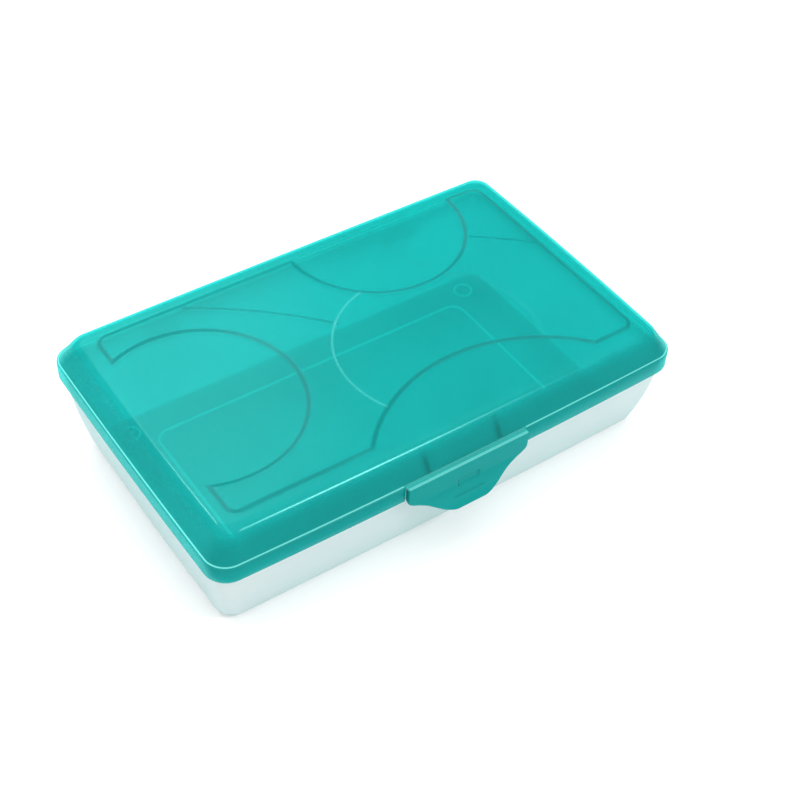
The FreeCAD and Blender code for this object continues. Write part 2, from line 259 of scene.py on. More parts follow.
def top_grid(half_x, half_y, corner, bow):
    """X and Y of a grid that fills the same outline, row by row from front to back."""
    xs, ys = plain_ring(half_x, half_y, corner)
    share = side_columns(half_x - corner) / (half_x - corner)
    right = [SIDE_STEPS + row for row in range(ROWS + 1)]
    grid_x = xs[right][:, None] * share[None, :]
    grid_y = np.repeat(ys[right][:, None], SIDE_STEPS + 1, axis=1)
    return bowed(grid_x, grid_y, half_x, half_y, bow)


# ---- meshes ----

class Builder:
    """Collects points in millimetres and faces, and makes one mesh object."""

    def __init__(self):
        self.points = []
        self.faces = []
        self.slots = []
        self.slot = 0          # the material slot that new faces get
        self.count = 0

    def add(self, points):
        start = self.count
        self.points.append(np.asarray(points, float).reshape(-1, 3))
        self.count += len(self.points[-1])
        return np.arange(start, self.count)

    def face(self, corners):
        self.faces.append([int(v) for v in corners])
        self.slots.append(self.slot)

    def strip(self, a, b, closed=True, skip=None):
        """Quads between two rows of points with the same count."""
        n = len(a)
        for i in range(n if closed else n - 1):
            j = (i + 1) % n
            if skip is None or not skip(i):
                self.face((a[i], a[j], b[j], b[i]))

    def sheet(self, rows):
        """Quads over a grid of points."""
        for a, b in zip(rows, rows[1:]):
            self.strip(a, b, closed=False)

    def tube(self, rings):
        """Quads over a row of closed rings."""
        for a, b in zip(rings, rings[1:]):
            self.strip(a, b)

    def prism(self, section, x0, x1):
        """A bar from x0 to x1 whose section is a closed row of (y, z)."""
        left, right = [self.add([(x, y, z) for y, z in section]) for x in (x0, x1)]
        self.strip(left, right)
        self.face(left)
        self.face(right[::-1])

    def make(self, name, sharp):
        """Makes the object, shaded smooth except across edges of more than sharp degrees."""
        mesh = bpy.data.meshes.new(name)
        points = (np.concatenate(self.points) + (0.0, CASE_Y, 0.0)) * MM
        mesh.from_pydata(points.tolist(), [], self.faces)
        mesh.polygons.foreach_set("material_index", self.slots)
        mesh.validate()
        obj = bpy.data.objects.new(name, mesh)
        bpy.context.scene.collection.objects.link(obj)
        tidy_normals(obj, sharp)
        return obj


def tidy_normals(obj, sharp):
    """Drops loose points, turns faces outwards and shades smooth between sharp edges."""
    work = bmesh.new()
    work.from_mesh(obj.data)
    loose = [v for v in work.verts if not v.link_faces]
    bmesh.ops.delete(work, geom=loose, context="VERTS")
    bmesh.ops.recalc_face_normals(work, faces=work.faces)
    limit = math.radians(sharp)
    for face in work.faces:
        face.smooth = True
    for edge in work.edges:
        if len(edge.link_faces) == 2 and edge.calc_face_angle() > limit:
            edge.smooth = False
    work.to_mesh(obj.data)
    work.free()


def shown_points(obj):
    """X, Y and Z of a mesh's points, in millimetres about the case's middle."""
    return (np.array([v.co for v in obj.data.vertices]) / MM - (0.0, CASE_Y, 0.0)).T


def paint(obj, name, values):
    """Stores one number per point for the material to read."""
    layer = obj.data.attributes.new(name, "FLOAT", "POINT")
    layer.data.foreach_set("value", np.asarray(values, np.float32))


# ---- lid ----

def panel_distance(x, y):
    """Distance out of the raised panel's outline, negative inside it."""
    qx = np.abs(x) - PANEL_HALF[0] + PANEL_CORNER_R
    qy = np.abs(y) - PANEL_HALF[1] + PANEL_CORNER_R
    outside = np.hypot(np.maximum(qx, 0), np.maximum(qy, 0))
    distance = outside + np.minimum(np.maximum(qx, qy), 0) - PANEL_CORNER_R
    for cx, cy, radius in BITES:
        distance = np.maximum(distance, radius - np.hypot(x - cx, y - cy))
    return distance


def circle_through(a, b, c):
    """Centre and radius of the circle through three points."""
    rows = np.array([[b[0] - a[0], b[1] - a[1]], [c[0] - a[0], c[1] - a[1]]])
    sums = np.array([(b[0] ** 2 - a[0] ** 2 + b[1] ** 2 - a[1] ** 2) / 2,
                     (c[0] ** 2 - a[0] ** 2 + c[1] ** 2 - a[1] ** 2) / 2])
    centre = np.linalg.solve(rows, sums)
    return centre[0], centre[1], math.hypot(a[0] - centre[0], a[1] - centre[1])


def line_masks(x, y):
    """1 on the thin raised lines inside the panel, fading to 0 beside them: the arcs, the circle."""
    inside = np.clip(-panel_distance(x, y) / BAND, 0, 1)
    arcs = np.zeros(np.shape(x))
    for a, b, c in LINE_ARCS:
        cx, cy, radius = circle_through(a, b, c)
        away = np.abs(np.hypot(x - cx, y - cy) - radius)
        along = (x > a[0] - 2) & (x < c[0] + 0.5) & (y > 0)
        arcs = np.maximum(arcs, np.clip(1.5 - 2 * away / LINE_WIDTH, 0, 1) * along)
    cx, cy, radius = INNER_CIRCLE
    circle = np.clip(1.5 - 2 * np.abs(np.hypot(x - cx, y - cy) - radius) / LINE_WIDTH, 0, 1)
    return arcs * inside, circle * inside


def crown_points(radius_less):
    """Inset and height of the round between the sloping wall and the top."""
    plateau_z = TOP_Z - PANEL_LIFT
    centre_z = plateau_z - CROWN_R
    centre_inset = (LEDGE_WIDTH + CROWN_R / math.cos(LID_DRAFT)
                    + (centre_z - LEDGE_Z) * math.tan(LID_DRAFT))
    radius = CROWN_R - radius_less
    angles = np.linspace(LID_DRAFT, math.pi / 2, CROWN_STEPS)
    return [(centre_inset - radius * math.cos(a), centre_z + radius * math.sin(a)) for a in angles]


def lid_profile():
    """Stations (inset, z) of the lid's section, up the outside and down the inside, and the
    numbers of the two stations that the latch's slot runs between."""
    slope = math.tan(LID_DRAFT)
    outer = [(inset, SKIRT_Z + rise) for inset, rise in SKIRT_FOOT]
    outer += [(inset, LEDGE_Z + rise) for inset, rise in LEDGE_ROUND]
    slot_top = len(outer)
    outer.append((SLOT_INSET, LEDGE_Z))
    outer += [(LEDGE_WIDTH + inset, LEDGE_Z + rise) for inset, rise in LEDGE_FILLET]
    outer += [(LEDGE_WIDTH + rise * slope, LEDGE_Z + rise) for rise in WALL_RISES]
    outer += crown_points(0.0)
    inner = crown_points(LID_WALL)[::-1]
    wall_foot = LEDGE_WIDTH + LID_WALL / math.cos(LID_DRAFT) - LEDGE_THICK * slope
    low_z = LEDGE_Z - LEDGE_THICK
    inner += [(wall_foot + 4 * slope, low_z + 4), (wall_foot, low_z)]
    slot_low = len(outer) + len(inner)
    inner += [(SKIRT_WALL, low_z), (SKIRT_WALL, SKIRT_Z + 0.35), (SKIRT_WALL - 0.25, SKIRT_Z)]
    return outer, inner, slot_top, slot_low


def lid_station(inset, z):
    """The ring of points that the section's station (inset, z) draws round the lid."""
    rise = min(max((z - LEDGE_Z) / (TOP_Z - LEDGE_Z), 0.0), 1.0)
    low_corner = max(SKIRT_CORNER_R - CORNER_SHRINK * inset, LEDGE_CORNER_R - 1)
    corner = mix(low_corner, CROWN_CORNER_R, rise)
    return ring(HALF_X - inset, HALF_Y - inset, corner, mix(SKIRT_BOW, TOP_BOW, rise), z)


def make_lid():
    """The lid's section drawn round its outline, with a slot in the skirt for the latch."""
    build = Builder()
    outer, inner, slot_top, slot_low = lid_profile()
    rings = [build.add(lid_station(inset, z)) for inset, z in outer + inner]
    first, last = OUTER_STEPS, OUTER_STEPS + MIDDLE_STEPS
    top_edge, ceiling_edge = len(outer) - 1, len(outer)

    def in_slot(i):
        return first <= i < last

    for k in range(len(rings)):
        if k == top_edge:
            continue
        skirt = k < slot_top or k >= slot_low
        build.slot = OUTER_FACE if k < top_edge else INNER_FACE
        build.strip(rings[k], rings[(k + 1) % len(rings)], skip=in_slot if skirt else None)
    # close the slot: the ledge's end behind the latch, and the skirt's two cut ends
    build.slot = OUTER_FACE
    high, low = rings[slot_top], rings[slot_low]
    for i in range(first, last):
        build.face((high[i], high[i + 1], low[i + 1], low[i]))
    cut = list(range(slot_low, len(rings))) + list(range(slot_top + 1))
    for column in (first, last):
        build.face([rings[k][column] for k in cut])
    add_lid_top(build, rings[top_edge], *outer[-1])
    build.slot = INNER_FACE
    build.face(rings[ceiling_edge])
    build.slot = OUTER_FACE
    for x in (-GUSSET_X, GUSSET_X):
        add_gusset(build, x)
    lid = build.make("lid", sharp=38)
    paint_lid(lid)
    return lid


def add_lid_top(build, edge, inset, z):
    """The top with its raised panel and thin lines, inside the ring of points edge."""
    grid_x, grid_y = top_grid(HALF_X - inset, HALF_Y - inset, CROWN_CORNER_R, TOP_BOW)
    step = ramp(-panel_distance(grid_x, grid_y), BAND)
    lift = PANEL_LIFT * step * step * (3 - 2 * step)
    lift += LINE_LIFT * np.maximum(*line_masks(grid_x, grid_y))
    grid = np.stack([grid_x, grid_y, np.minimum(z + lift, TOP_Z)], -1)
    rows = np.arange(ROWS + 1)
    ids = np.zeros(grid_x.shape, int)
    ids[1:-1, 1:-1] = build.add(grid[1:-1, 1:-1]).reshape(ROWS - 1, SIDE_STEPS - 1)
    ids[0] = edge[:SIDE_STEPS + 1]
    ids[-1] = edge[SIDE_STEPS + ROWS:2 * SIDE_STEPS + ROWS + 1][::-1]
    ids[:, -1] = edge[SIDE_STEPS + rows]
    ids[:, 0] = edge[-rows]
    build.sheet(ids)


def add_gusset(build, x):
    """A small rib inside the front wall, above the latch."""
    low_z, high_z = LEDGE_Z - LEDGE_THICK, GUSSET_TOP_Z
    foot_y = -HALF_Y + LEDGE_WIDTH + 0.9
    top_y = foot_y + (high_z - LEDGE_Z) * math.tan(LID_DRAFT)
    section = [(foot_y + 0.2, low_z), (foot_y + 4.2, low_z), (foot_y + 4.8, low_z + 1.0),
               (top_y + 1.5, high_z), (top_y + 0.2, high_z)]
    build.prism(section, x - GUSSET_THICK / 2, x + GUSSET_THICK / 2)


def paint_lid(lid):
    """Painted shade on the wall, deeper in front, on the panel's slope, on the arcs and over the
    gussets, and painted highlights on the ledge and the thin circle."""
    x, y, z = shown_points(lid)
    on_top = z > TOP_Z - PANEL_LIFT - 0.05
    front = y < 0
    # painted shade along the slope round the raised panel, and on the thin arcs
    step = ramp(-panel_distance(x, y), 1.3 * BAND)
    slope = np.clip(5 * step * (1 - step), 0, 1)
    arcs, circle = line_masks(x, y)
    # painted shade in a dark wedge over each gusset
    wedge = np.clip(GUSSET_SHADE_HALF - np.abs(np.abs(x) - GUSSET_X), 0, 1) * front * (z > LEDGE_Z + 0.1)
    wedge *= np.clip((GUSSET_TOP_Z + 2.0 - z) / GUSSET_SHADE_FADE, 0, 1)
    # painted shade on the sloping wall, deeper towards the front, fading out below the top
    near_front = np.clip((-y - HALF_Y + WALL_FRONT_FROM) / WALL_FRONT_FADE, 0, 1)
    wall = mix(*WALL_SHADE, near_front) * np.clip((WALL_SHADE_TOP_Z - z) / WALL_SHADE_FADE, 0, 1)
    # tint holds all the lid's painted shade: the slope, the arcs, the wall and the gusset wedges
    paint(lid, "tint", np.maximum(np.maximum(slope, arcs) * on_top, np.maximum(wall, wedge)))
    # painted highlights: along the ledge, and on the thin circle, brighter left of its centre
    on_ledge = np.abs(z - LEDGE_Z) < 0.05
    behind_latch = (np.abs(x) < SLOT_HALF) & front
    right = x > INNER_CIRCLE[0]
    paint(lid, "pale", np.maximum(on_ledge * mix(*LEDGE_HIGHLIGHT, behind_latch),
                                  circle * on_top * mix(*CIRCLE_HIGHLIGHT, right)))


# ---- tray ----

def tray_half(z):
    """Half length, half depth and rise of the outside, which is upright at the rim and curves in."""
    rise = 1 - (1 - z / tray_high[2]) ** 2
    return (mix(TRAY_FOOT[0], HALF_X - TRAY_TOP_INSET[0], rise),
            mix(TRAY_FOOT[1], HALF_Y - TRAY_TOP_INSET[1], rise), rise)


def tray_outer(z, inset):
    """The tray's outline at height z, drawn in by inset."""
    half_x, half_y, rise = tray_half(z)
    half_x -= inset
    half_y -= inset
    corner = mix(TRAY_FOOT_CORNER_R, TRAY_TOP_CORNER_R, rise) - inset
    return ring(half_x, half_y, corner, mix(TRAY_FOOT_BOW, TRAY_TOP_BOW, rise), z)


def tray_foot(radius, inset, low_z, angles):
    """Outlines of the round between the bottom, at low_z, and the wall."""
    return [tray_outer(low_z + radius * (1 - math.cos(angle)), inset + radius * (1 - math.sin(angle)))
            for angle in angles]


def make_tray():
    """Rings up the outside and over the rim, down the inside and over the floor's raised line."""
    build = Builder()
    rim_z = tray_high[2]
    flange_z = rim_z - FLANGE_THICK
    outside_steps, inside_steps = TRAY_EDGE_STEPS
    stations = tray_foot(TRAY_EDGE_R, 0.0, 0.0, np.linspace(0, math.pi / 2, outside_steps))
    stations += [tray_outer(z, 0.0) for z in (*TRAY_HEIGHTS, flange_z)]
    for inset, z in ((0.3, flange_z), (0.0, flange_z + 0.3), (0.0, rim_z - 0.5), (0.15, rim_z - 0.15),
                     (0.5, rim_z)):
        inset += FLANGE_INSET
        stations.append(ring(HALF_X - inset, HALF_Y - inset, SKIRT_CORNER_R - inset, SKIRT_BOW, z))
    inside_from = len(stations)
    for inset, z in ((TRAY_WALL - 0.5, rim_z), (TRAY_WALL - 0.1, rim_z - 0.2), (TRAY_WALL, rim_z - 0.6)):
        stations.append(tray_outer(z, inset))
    stations += [tray_outer(z, TRAY_WALL) for z in TRAY_HEIGHTS[::-1]]
    stations += tray_foot(TRAY_EDGE_R - TRAY_WALL, TRAY_WALL, TRAY_FLOOR,
                          np.linspace(math.pi / 2, 0, inside_steps))
    half_x, half_y, corner = FLOOR_RIB
    low, high = TRAY_FLOOR, TRAY_FLOOR + FLOOR_RIB_HEIGHT
    for inset, z in ((-0.25, low), (0.1, high - 0.12), (0.35, high), (FLOOR_RIB_WIDTH - 0.35, high),
                     (FLOOR_RIB_WIDTH - 0.1, high - 0.12), (FLOOR_RIB_WIDTH + 0.25, low)):
        stations.append(ring(half_x - inset, half_y - inset, corner - inset, (0.0, 0.0, 0.0), z))
    rings = [build.add(points) for points in stations]
    inside_points = (rings[inside_from][0], build.count)
    build.tube(rings)
    build.face(rings[0][::-1])
    build.face(rings[-1])
    for x in (-RING_AT[0], RING_AT[0]):
        for y in (-RING_AT[1], RING_AT[1]):
            add_floor_ring(build, x, y)
    add_catch_nub(build)
    tray = build.make("tray", sharp=40)
    paint_tray(tray, *inside_points)
    return tray


def add_floor_ring(build, x, y):
    """A round raised line on the floor, sunk a little into it."""
    around_steps, line_steps = FLOOR_RING_STEPS
    around = np.linspace(0, 2 * math.pi, around_steps + 1)[:-1]
    loops = []
    for angle in np.linspace(0, 2 * math.pi, line_steps + 1)[:-1]:
        radius = RING_R + RING_TUBE * math.cos(angle)
        height = TRAY_FLOOR + 0.05 + RING_TUBE * math.sin(angle)
        loops.append(build.add(np.column_stack([x + radius * np.cos(around), y + radius * np.sin(around),
                                                np.full(around_steps, height)])))
    build.tube(loops + loops[:1])


def add_catch_nub(build):
    """The wedge on the tray's front wall that the latch's rib passes under."""
    low_z, high_z = CATCH_NUB_Z
    face_y = FLAP_FACE_Y + FLAP_THICK + CATCH_RIB_HEIGHT + CATCH_GAP

    def wall_y(z):
        return TRAY_WALL / 2 - tray_half(z)[1]

    section = [(wall_y(high_z + 4), high_z + 4), (face_y + 0.25, high_z + 0.3), (face_y, high_z - 0.2),
               (face_y, low_z + 0.3), (face_y + 0.3, low_z), (wall_y(low_z), low_z)]
    build.prism(section, -CATCH_NUB_HALF, CATCH_NUB_HALF)


def paint_tray(tray, inside_from, inside_to):
    """Painted shade on the inside, whose points have these numbers, most on the floor, and painted
    highlights on the raised lines.
    """
    x, y, z = shown_points(tray)
    number = np.arange(len(x))
    inside = (number >= inside_from) & (number < inside_to)
    on_floor = inside & (z < TRAY_FLOOR + 0.1)
    rib = (inside & (z > TRAY_FLOOR + 0.1) & (z < TRAY_FLOOR + FLOOR_RIB_HEIGHT + 0.1)
           & (np.abs(x) < FLOOR_RIB[0] + 1) & (np.abs(y) < FLOOR_RIB[1] + 1))
    from_ring = np.abs(np.hypot(np.abs(x) - RING_AT[0], np.abs(y) - RING_AT[1]) - RING_R)
    floor_ring = (from_ring < 2 * RING_TUBE) & (z > TRAY_FLOOR - 0.2) & (z < TRAY_FLOOR + 2 * RING_TUBE)
    raised = rib | floor_ring
    # painted highlight on the floor's raised line and rings
    paint(tray, "pale", 1.0 * raised)
    # painted shade on the tray's inside, most on its floor, none on the raised lines
    paint(tray, "tint", np.where(raised, 0.0, TRAY_INSIDE_SHADE * inside + TRAY_FLOOR_SHADE * on_floor))


# ---- latch ----

def flare(z):
    """Y of the flap's outer face at height z, and its outward normal (y, z)."""
    depth = HALF_Y + LIP_REACH + FLAP_FACE_Y
    height = FLAP_FLARE_Z - flap_low[2]
    radius = (depth ** 2 + height ** 2) / (2 * depth)
    drop = np.maximum(FLAP_FLARE_Z - z, 0.0)
    sine = drop / radius
    cosine = np.sqrt(1 - sine ** 2)
    return FLAP_FACE_Y - radius * (1 - cosine), -cosine, -sine


def flap_rim():
    """Points of the flap's outline, as a smooth line from its right corner down to its tip."""
    right = np.array(FLAP_OUTLINE)
    left = (right * (-1, 1))[::-1][1:]
    knots = np.concatenate([right, left])
    length = np.concatenate([[0], np.cumsum(np.hypot(*np.diff(knots, axis=0).T))])
    tangents = np.gradient(knots, length, axis=0)
    fine = []
    for t in np.linspace(0, length[-1], 2 * FLAP_RIM_STEPS + 1)[:FLAP_RIM_STEPS]:
        k = min(np.searchsorted(length, t, side="right") - 1, len(knots) - 2)
        span = length[k + 1] - length[k]
        u = (t - length[k]) / span
        fine.append((2 * u ** 3 - 3 * u ** 2 + 1) * knots[k]
                    + (u ** 3 - 2 * u ** 2 + u) * span * tangents[k]
                    + (3 * u ** 2 - 2 * u ** 3) * knots[k + 1]
                    + (u ** 3 - u ** 2) * span * tangents[k + 1])
    return np.array(fine)


def flap_rows():
    """Heights of the rows of points across the flap, from the top down, and half of each width."""
    rim = flap_rim()
    corner_x, corner_z = rim[0]
    top = np.linspace(flap_high[2] - FLAP_EDGE_R, corner_z, FLAP_TOP_ROWS + 1)[:-1]
    heights = np.concatenate([top, rim[:, 1]])
    widths = np.concatenate([np.full(FLAP_TOP_ROWS, corner_x), rim[:, 0]]) - FLAP_EDGE_R
    wide = widths > 1.0
    heights, widths = np.maximum(heights[wide], flap_low[2] + FLAP_EDGE_R), widths[wide]
    order = np.argsort(-heights, kind="stable")
    heights, widths = heights[order], widths[order]
    apart = np.concatenate([[True], np.diff(heights) < -0.02])
    return heights[apart], widths[apart]


def pocket_share(x, z):
    """1 inside the flap's square recess, falling to 0 over its soft edge."""
    across = ramp(RECESS_HALF - np.abs(x), RECESS_SOFT)
    above = ramp(RECESS_Z[1] - z, RECESS_SOFT)
    below = ramp(z - RECESS_Z[0], 2 * RECESS_SOFT)
    return across * above * below


def crease_share(x, z):
    """1 along the raised line under the recess, fading to 0 beside it."""
    across = np.clip((CREASE_HALF + 1 - np.abs(x)) / 2, 0, 1)
    return np.exp(-((z - CREASE_Z) / CREASE_SOFT) ** 2) * across


def flap_thickness(x, z):
    """The flap is thicker at its catch rib, and along its sides, where it fills the slot."""
    catch = (ramp(CATCH_RIB_HALF - np.abs(x), 0.5) * ramp(CATCH_RIB_Z[1] - z, 0.5)
             * ramp(z - CATCH_RIB_Z[0], 0.5))
    side = np.clip((np.abs(x) - flap_high[0] + SIDE_WIDTH) / 0.6, 0, 1) * np.clip(z - SIDE_Z[0], 0, 1)
    side *= np.clip(SIDE_Z[1] - z, 0, 1)
    return FLAP_THICK + CATCH_RIB_HEIGHT * catch + SIDE_THICK * side


def border(ids):
    """The outer points of a grid, once round."""
    return np.concatenate([ids[0, :-1], ids[:-1, -1], ids[-1, :0:-1], ids[:0:-1, 0]])


def make_latch():
    """Rows across the flap at each height, front and back, joined round a soft edge."""
    build = Builder()
    heights, widths = flap_rows()
    share = np.sin(np.linspace(-math.pi / 2, math.pi / 2, FLAP_COLUMNS)) * 0.35
    share += np.linspace(-1, 1, FLAP_COLUMNS) * 0.65
    grid_x = widths[:, None] * share[None, :]
    grid_z = np.repeat(heights[:, None], FLAP_COLUMNS, axis=1)
    face_y, normal_y, normal_z = flare(grid_z)
    dent = RECESS_DEPTH * pocket_share(grid_x, grid_z) - CREASE_HEIGHT * crease_share(grid_x, grid_z)
    sheets = []
    for depth in (dent, flap_thickness(grid_x, grid_z)):
        sheet = np.stack([grid_x, face_y - normal_y * depth, grid_z - normal_z * depth], -1)
        sheets.append(build.add(sheet).reshape(grid_x.shape))
    for ids in sheets:
        build.sheet(ids)
    front_edge, back_edge = [border(ids) for ids in sheets]
    points = np.concatenate(build.points)
    front, back = points[front_edge], points[back_edge]
    across = back - front
    outwards = np.cross(across, np.roll(front, -1, axis=0) - np.roll(front, 1, axis=0))
    outwards /= np.linalg.norm(outwards, axis=1)[:, None]
    outwards *= np.sign(np.sum(outwards * (front - front.mean(axis=0)), axis=1))[:, None]
    loops = [front_edge]
    for angle in np.linspace(0, math.pi, FLAP_EDGE_STEPS + 1)[1:-1]:
        bulge = outwards * FLAP_EDGE_R * math.sin(angle) ** 0.6
        loops.append(build.add(front + across * ((1 - math.cos(angle)) / 2) + bulge))
    build.tube(loops + [back_edge])
    latch = build.make("latch", sharp=50)
    paint_latch(latch)
    return latch


def paint_latch(latch):
    """Painted shade along the recess's top and left, under the raised line and on the flap's sides, and
    a painted highlight along the top edge."""
    x, y, z = shown_points(latch)
    face = y < FLAP_FACE_Y + 1
    pocket = (np.abs(x) < RECESS_HALF + 0.4) & (z > RECESS_Z[0]) & (z < RECESS_Z[1] + 0.4)
    from_edge = np.minimum(np.abs(z - RECESS_Z[1]), np.abs(x + RECESS_HALF))
    # painted shade along the recess's top and left edges
    edge = np.clip(1.6 - 2 * from_edge, 0, 1) * pocket * face
    crease_shade = CREASE_SHADE * crease_share(x, z + CREASE_SHADE_DROP) * face
    # painted shade on the flap's sides
    side = FLAP_SIDE_SHADE * (np.abs(x) > flap_high[0] - 0.3)
    paint(latch, "tint", np.clip(np.maximum(np.maximum(edge, crease_shade), side), 0, 1))
    # painted highlight along the flap's top edge
    paint(latch, "pale", FLAP_TOP_HIGHLIGHT * (z > flap_high[2] - 0.3))


def make_web():
    """The thin living hinge, cut fine across, with a shallow groove on top."""
    build = Builder()
    front_y = web_low[1] - CASE_Y - WEB_REACH
    back_y = -HALF_Y + SLOT_INSET + 0.1
    half = flap_high[0] - 0.1
    top_z = LEDGE_Z - 0.05
    top, under = [], []
    for share in np.linspace(0, 1, WEB_STEPS):
        groove = 1 - abs(2 * share - 1) ** 3
        top.append((mix(front_y, back_y, share), top_z - WEB_GROOVE * groove))
        under.append((mix(front_y, back_y, share), top_z - WEB_THICK + WEB_WAIST * groove))
    section = top + under[::-1]
    rings = [build.add([(x, y, z) for y, z in section]) for x in np.linspace(-half, half, WEB_COLUMNS)]
    build.tube(rings)
    build.face(rings[0])
    build.face(rings[-1][::-1])
    web = build.make("hinge_web", sharp=50)
    # painted highlight over the whole web
    paint(web, "pale", np.full(len(web.data.vertices), WEB_HIGHLIGHT))
    return web


# ---- materials ----

MIX_COLOURS = (6, 7)               # the two colour inputs of a Mix node that is set to RGBA
MIX_COLOUR_RESULT = 2
GRAIN_SCALE = 1500.0
SPECKLE_SCALE = 900.0
CLOUD_SCALE = 18.0
BUMP_STRENGTH = 0.15
BUMP_DISTANCE = 0.0001
ROUGH_SWING = 0.04                 # of the coat's roughness, with the grain
THROUGH_SHARE = 0.45               # of the soaked light that comes out on the far side
SHADE_CLEAR = 0.35                # what is left of the clear share where the painted shade (tint) is full
HIGHLIGHT_CLEAR = 0.2                   # and where the painted highlight (pale) is
COAT_COLOUR = (0.5, 1.0, 0.98)
COAT_SHARE = (0.022, 0.25)         # of the surface seen square on, and seen edge on
COAT_FACING = (0.45, 1.0)          # where the coat starts to grow, and where it is full

TEAL = (0.0, 0.76, 0.73)
# deep colours serve the random mottle and the painted shade, pale colours the painted highlights
TEAL_MOTTLE_AND_SHADE = (0.0, 0.25, 0.24)
TEAL_HIGHLIGHT = (0.30, 0.95, 0.90)
TEAL_CLEAR = (0.11, 0.89, 0.87)
TEAL_INNER_CLEAR = (0.9, 1.0, 1.0)
# the latch's teal: the lid's teal with painted shade in, as on the front of the lid's wall
LATCH_SHADED_TEAL = (0.0, 0.41, 0.39)
MILK = (0.85, 0.825, 0.835)
MILK_MOTTLE_AND_SHADE = (0.50, 0.60, 0.62)
MILK_HIGHLIGHT = (0.99, 1.0, 1.0)
MILK_CLEAR = (0.92, 0.96, 0.96)


def plastic(name, colour, deep, pale, rough, mottle, clear, clear_tint):
    """Translucent moulded polypropylene: light that soaks in and through, some clear sight and a satin
    sheen on top. The attributes tint and pale carry painted shade and painted highlights: tint deepens
    the colour, pale lightens it, and both leave less clear sight."""
    material = bpy.data.materials.new(name)
    material.use_nodes = True
    nodes, links = material.node_tree.nodes, material.node_tree.links
    nodes.clear()
    output = nodes.new("ShaderNodeOutputMaterial")
    body = nodes.new("ShaderNodeBsdfPrincipled")
    glow = nodes.new("ShaderNodeBsdfTranslucent")
    sight = nodes.new("ShaderNodeBsdfTransparent")
    soaked = nodes.new("ShaderNodeMixShader")
    cleared = nodes.new("ShaderNodeMixShader")
    coated = nodes.new("ShaderNodeMixShader")
    sheen = nodes.new("ShaderNodeBsdfAnisotropic")
    facing = nodes.new("ShaderNodeLayerWeight")
    place = nodes.new("ShaderNodeTexCoord")

    def noise(scale, detail):
        """A noise pattern fixed to the object."""
        node = nodes.new("ShaderNodeTexNoise")
        node.inputs["Scale"].default_value = scale
        node.inputs["Detail"].default_value = detail
        links.new(place.outputs["Object"], node.inputs["Vector"])
        return node.outputs["Fac"]

    def spread(value, low, high, from_low=0.0, from_high=1.0):
        """Turns value's range, from from_low to from_high, into low to high."""
        node = nodes.new("ShaderNodeMapRange")
        node.inputs["From Min"].default_value = from_low
        node.inputs["From Max"].default_value = from_high
        node.inputs["To Max"].default_value = high
        links.new(value, node.inputs["Value"])
        if isinstance(low, float):
            node.inputs["To Min"].default_value = low
        else:
            links.new(low, node.inputs["To Min"])
        return node.outputs["Result"]

    def attribute(label):
        """A number painted on the mesh, 0 where there is none."""
        node = nodes.new("ShaderNodeAttribute")
        node.attribute_name = label
        return node.outputs["Fac"]

    def blended(share, first, second):
        """A colour the given share of the way from first to second."""
        node = nodes.new("ShaderNodeMix")
        node.data_type = "RGBA"
        links.new(share, node.inputs["Factor"])
        for socket, value in zip(MIX_COLOURS, (first, second)):
            if isinstance(value, tuple):
                node.inputs[socket].default_value = (*value, 1)
            else:
                links.new(value, node.inputs[socket])
        return node.outputs[MIX_COLOUR_RESULT]

    grain = noise(GRAIN_SCALE, 2.0)
    cloud = spread(noise(CLOUD_SCALE, 3.0), 0.0, mottle, 0.35, 0.7)
    speckle = spread(noise(SPECKLE_SCALE, 2.0), 0.0, mottle, 0.4, 0.7)
    mottled = blended(speckle, blended(cloud, colour, deep), deep)
    # tint brings in the painted shade, pale the painted highlights
    shade_share, highlight_share = attribute("tint"), attribute("pale")
    painted = blended(highlight_share, blended(shade_share, mottled, deep), pale)
    links.new(painted, body.inputs["Base Color"])
    links.new(painted, glow.inputs["Color"])
    sight.inputs["Color"].default_value = (*clear_tint, 1)
    bump = nodes.new("ShaderNodeBump")
    bump.inputs["Strength"].default_value = BUMP_STRENGTH
    bump.inputs["Distance"].default_value = BUMP_DISTANCE
    links.new(grain, bump.inputs["Height"])
    links.new(bump.outputs["Normal"], body.inputs["Normal"])
    body.inputs["Roughness"].default_value = rough
    body.inputs["Specular IOR Level"].default_value = 0.0
    soaked.inputs["Fac"].default_value = THROUGH_SHARE
    links.new(body.outputs[0], soaked.inputs[1])
    links.new(glow.outputs[0], soaked.inputs[2])
    clear_share = spread(shade_share, clear, SHADE_CLEAR * clear)
    links.new(spread(highlight_share, clear_share, HIGHLIGHT_CLEAR * clear), cleared.inputs["Fac"])
    links.new(soaked.outputs[0], cleared.inputs[1])
    links.new(sight.outputs[0], cleared.inputs[2])
    sheen.inputs["Color"].default_value = (*COAT_COLOUR, 1)
    links.new(spread(grain, rough - ROUGH_SWING, rough + ROUGH_SWING), sheen.inputs["Roughness"])
    links.new(bump.outputs["Normal"], sheen.inputs["Normal"])
    facing.inputs["Blend"].default_value = 0.5
    links.new(spread(facing.outputs["Facing"], *COAT_SHARE, *COAT_FACING), coated.inputs["Fac"])
    links.new(cleared.outputs[0], coated.inputs[1])
    links.new(sheen.outputs[0], coated.inputs[2])
    links.new(coated.outputs[0], output.inputs["Surface"])
    return material


def put_on(obj, *materials):
    """Gives an object these materials, in the order of its slots."""
    obj.data.materials.clear()
    for material in materials:
        obj.data.materials.append(material)


# ---- stage ----

FLOOR_SIZE = 40.0                  # metres, so that its edge is never seen
FLOOR_COLOUR = (0.93, 0.93, 0.93)
FLOOR_GLOW = 0.04
